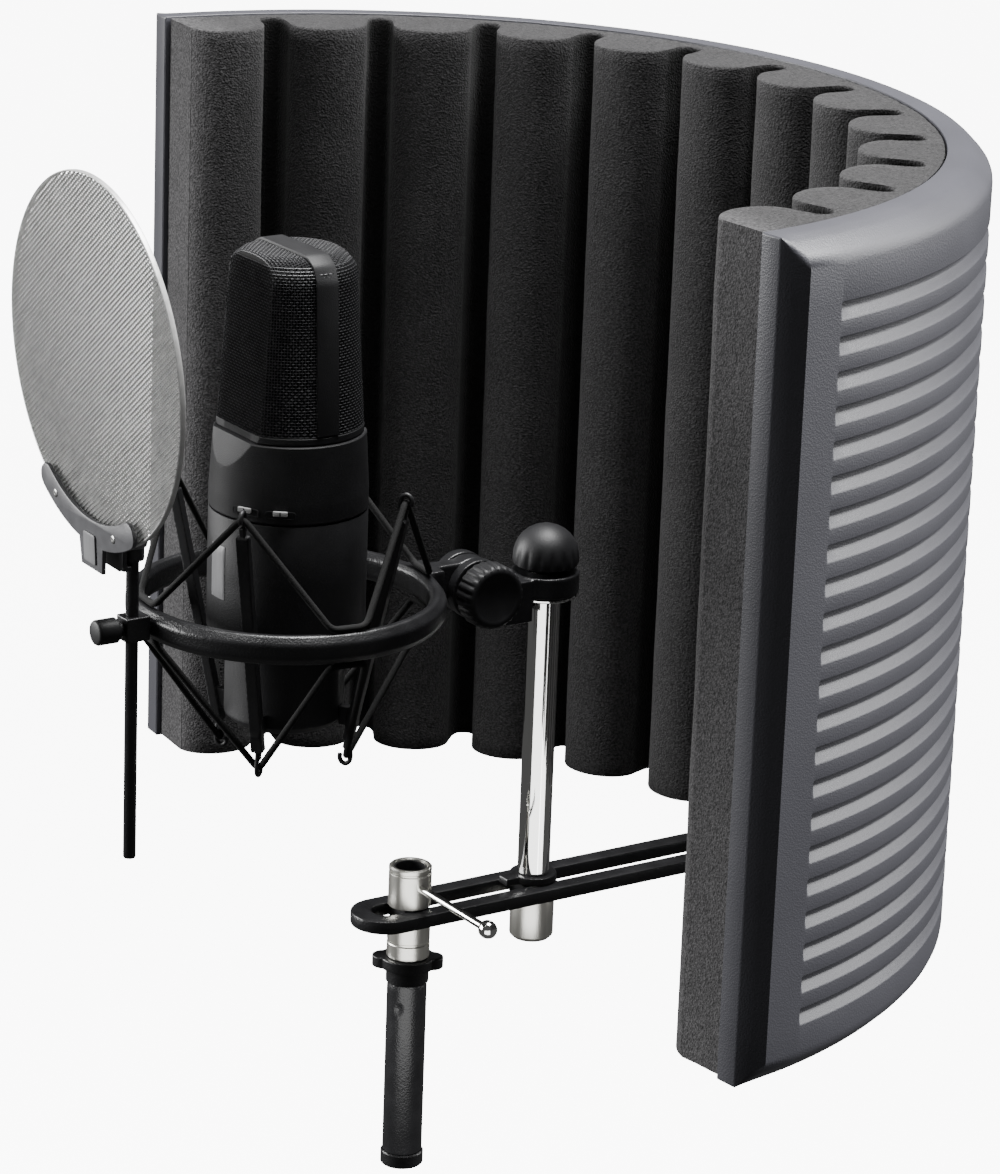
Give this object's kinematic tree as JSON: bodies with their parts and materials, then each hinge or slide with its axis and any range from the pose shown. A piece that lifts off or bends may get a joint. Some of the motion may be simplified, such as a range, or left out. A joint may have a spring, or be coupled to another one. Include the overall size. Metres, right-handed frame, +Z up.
{
  "type": "microphone isolation shield",
  "caption": "Curved foam-lined sound shield on a slotted stand arm, with a shock-mounted side-address microphone and a round mesh pop screen",
  "frame": {"origin": "lower end of the stand tube on its axis, where the stand's stud screws in", "axes": "+Z up along the stand tube; the shield opens towards -Y; +X is the singer's left as they face the shield's opening, across its width"},
  "size_m": [0.4264, 0.3597, 0.4115],
  "materials": {
    "shell_plastic": "satin moulded",
    "liner_foam": "open-cell foam",
    "felt": "felt",
    "perforated_steel": "perforated sheet",
    "black_steel": "satin black powder coat",
    "satin_nickel": "satin nickel",
    "chrome_bright": "polished",
    "plain_steel": "zinc plated",
    "bush_plastic": "moulded",
    "knob_plastic": "moulded",
    "cradle_plastic": "moulded",
    "elastic_cord": "braided elastic",
    "mic_black": "matte black",
    "mic_mesh": "woven mesh",
    "capsule_brass": "machined",
    "inner_plastic": "moulded",
    "board_green": "lacquered board",
    "xlr_nickel": "satin nickel",
    "switch_grey": "moulded",
    "badge_grey": "printed plain",
    "screen_mesh": "fine woven mesh",
    "clip_grey": "grey satin"
  },
  "bodies": {
    "stand_base": {"thread_insert": "plain_steel", "stand_tube": "black_steel", "tube_collar": "black_steel", "flange_ring": "black_steel", "coupling_lower": "satin_nickel", "coupling_stud": "plain_steel"},
    "slot_pivot": {"slot_bush": "bush_plastic"},
    "clamp_nut": {"clamp_nut": "satin_nickel", "tommy_bar": "chrome_bright"},
    "shield": {"slotted_arm": "black_steel", "backing_plate": "black_steel", "outer_shell": "shell_plastic", "outer_felt": "felt", "perforated_sheet": "perforated_steel", "inner_felt": "felt", "foam_liner": "liner_foam"},
    "arm_knob_lower": {"arm_knob_1": "knob_plastic"},
    "arm_knob_upper": {"arm_knob_2": "knob_plastic"},
    "post": {"mic_post": "chrome_bright", "post_slider": "black_steel", "post_bush": "bush_plastic", "post_washer": "chrome_bright"},
    "post_nut": {"post_nut": "satin_nickel"},
    "swivel": {"swivel_body": "black_steel", "hinge_bolt": "plain_steel", "hinge_nut": "plain_steel"},
    "dome_knob": {"dome_knob": "knob_plastic"},
    "lock_knob": {"lock_knob": "knob_plastic"},
    "hoop": {"suspension_ring": "black_steel", "rod_clamp": "black_steel", "elastic_upper": "elastic_cord", "elastic_lower": "elastic_cord"},
    "thumb_screw": {"thumb_screw": "knob_plastic"},
    "pop_rod": {"pop_rod": "black_steel", "rod_head": "black_steel"},
    "screen": {"screen_rim": "clip_grey", "mesh_front": "screen_mesh", "mesh_back": "screen_mesh", "screen_clip": "clip_grey", "clip_back": "clip_grey", "clip_badge": "badge_grey", "screen_bracket": "black_steel"},
    "microphone": {"cradle_cup": "cradle_plastic", "cradle_strut_1": "cradle_plastic", "cradle_strut_2": "cradle_plastic", "cradle_strut_3": "cradle_plastic", "cradle_strut_4": "cradle_plastic", "mic_base": "mic_black", "mic_body": "mic_black", "grille_ring": "mic_black", "mic_grille": "mic_mesh", "grille_band": "mic_black", "capsule": "capsule_brass", "capsule_mount": "inner_plastic", "xlr_shell": "xlr_nickel", "xlr_insert": "inner_plastic", "circuit_board": "board_green", "mic_badge": "badge_grey"},
    "switch_left": {"mic_switch_1": "switch_grey"},
    "switch_right": {"mic_switch_2": "switch_grey"}
  },
  "joints": [
    {"name": "arm_swing", "type": "hinge", "parent": "stand_base", "child": "slot_pivot", "pos_m": [0, 0, 0.105], "axis": [0, 0, 1], "continuous": true},
    {"name": "arm_slide", "type": "slide", "parent": "slot_pivot", "child": "shield", "axis": [0, 1, 0], "range_m": [-0.02, 0.005]},
    {"name": "clamp_nut_turn", "type": "hinge", "parent": "slot_pivot", "child": "clamp_nut", "pos_m": [0, 0, 0.115], "axis": [0, 0, 1], "range_deg": [-60, 60]},
    {"name": "arm_knob_lower_turn", "type": "hinge", "parent": "shield", "child": "arm_knob_lower", "pos_m": [0, 0.2004, 0.175], "axis": [0, 1, 0], "range_deg": [0, 720]},
    {"name": "arm_knob_upper_turn", "type": "hinge", "parent": "shield", "child": "arm_knob_upper", "pos_m": [0, 0.2004, 0.235], "axis": [0, 1, 0], "range_deg": [0, 720]},
    {"name": "post_slide", "type": "slide", "parent": "shield", "child": "post", "axis": [0, 1, 0], "range_m": [-0.012, 0.05]},
    {"name": "post_nut_turn", "type": "hinge", "parent": "post", "child": "post_nut", "pos_m": [0, 0.0564, 0.092], "axis": [0, 0, 1], "range_deg": [0, 720]},
    {"name": "mic_swivel", "type": "hinge", "parent": "post", "child": "swivel", "pos_m": [0, 0.0564, 0.225], "axis": [0, 0, 1], "range_deg": [-30, 30]},
    {"name": "dome_knob_turn", "type": "hinge", "parent": "post", "child": "dome_knob", "pos_m": [0, 0.0564, 0.243], "axis": [0, 0, 1], "range_deg": [0, 720]},
    {"name": "mic_tilt", "type": "hinge", "parent": "swivel", "child": "hoop", "pos_m": [0, 0.0215, 0.231], "axis": [1, 0, 0], "range_deg": [-25, 20]},
    {"name": "lock_knob_turn", "type": "hinge", "parent": "swivel", "child": "lock_knob", "pos_m": [0.014, 0.0215, 0.231], "axis": [1, 0, 0], "range_deg": [0, 720]},
    {"name": "thumb_screw_turn", "type": "hinge", "parent": "hoop", "child": "thumb_screw", "pos_m": [0, -0.13, 0.236], "axis": [0, -1, 0], "range_deg": [0, 720]},
    {"name": "pop_rod_slide", "type": "slide", "parent": "hoop", "child": "pop_rod", "axis": [0, 0, 1], "range_m": [-0.017, 0.08]},
    {"name": "screen_turn", "type": "hinge", "parent": "pop_rod", "child": "screen", "pos_m": [0, -0.1215, 0.2645], "axis": [0, 0, 1], "range_deg": [-28, 28]},
    {"name": "cradle_float", "type": "slide", "parent": "hoop", "child": "microphone", "axis": [0, 0, 1], "range_m": [-0.0035, 0.0035], "stiffness_N_per_m": 1400, "springref_m": 0.0026, "deforming": ["elastic_upper", "elastic_lower"]},
    {"name": "pattern_switch", "type": "slide", "parent": "microphone", "child": "switch_left", "axis": [0.887, 0.4617, 0], "range_m": [-0.0012, 0.0012]},
    {"name": "pad_switch", "type": "slide", "parent": "microphone", "child": "switch_right", "axis": [0.5948, 0.8039, 0], "range_m": [-0.0012, 0.0012]}
  ]
}
